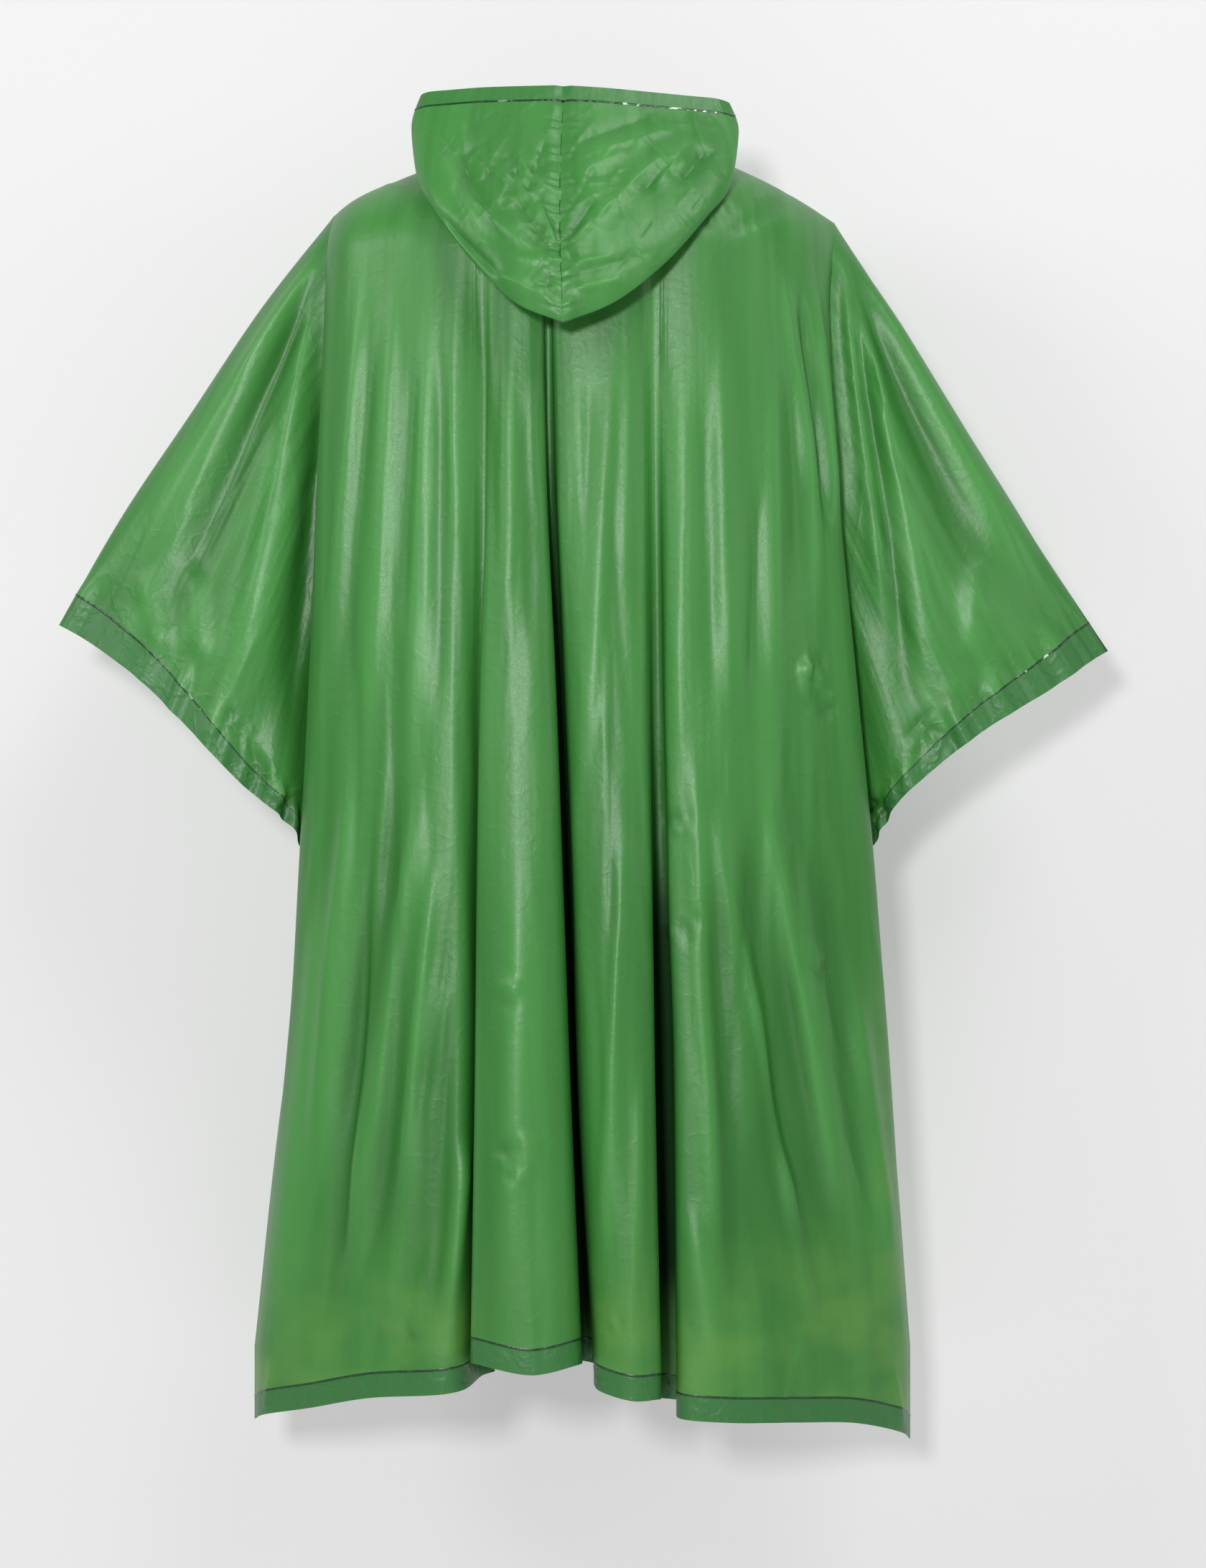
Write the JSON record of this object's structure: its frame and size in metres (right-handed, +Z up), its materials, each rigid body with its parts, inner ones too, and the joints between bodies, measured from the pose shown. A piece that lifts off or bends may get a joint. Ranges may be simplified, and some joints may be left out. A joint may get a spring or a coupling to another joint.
{
  "type": "rain poncho",
  "caption": "Hooded rain poncho in thin half-see-through film, hanging open as worn, with wide short sleeves, deep upright folds and the hood down on the back.",
  "frame": {"origin": "between the shoulders at the base of the neck, where the wearer holds the poncho up", "axes": "+Z up, the wearer faces +Y so the back with the hood faces -Y, the wearer's left is -X"},
  "size_m": [0.8931, 0.3185, 1.1304],
  "materials": {
    "film_body": "frosted half-see-through film, half gloss",
    "film_sleeve": "frosted half-see-through film, half gloss",
    "film_hood": "frosted half-see-through film, half gloss",
    "film_hem": "the same film turned and welded, so darker"
  },
  "bodies": {
    "root": {"back": "film_body", "front": "film_body", "sleeve_left": "film_sleeve", "sleeve_right": "film_sleeve", "hood_left": "film_hood", "hood_right": "film_hood", "hood_hem": "film_hem", "hem_back": "film_hem", "hem_front": "film_hem", "cuff_left": "film_hem", "cuff_right": "film_hem"}
  },
  "joints": []
}
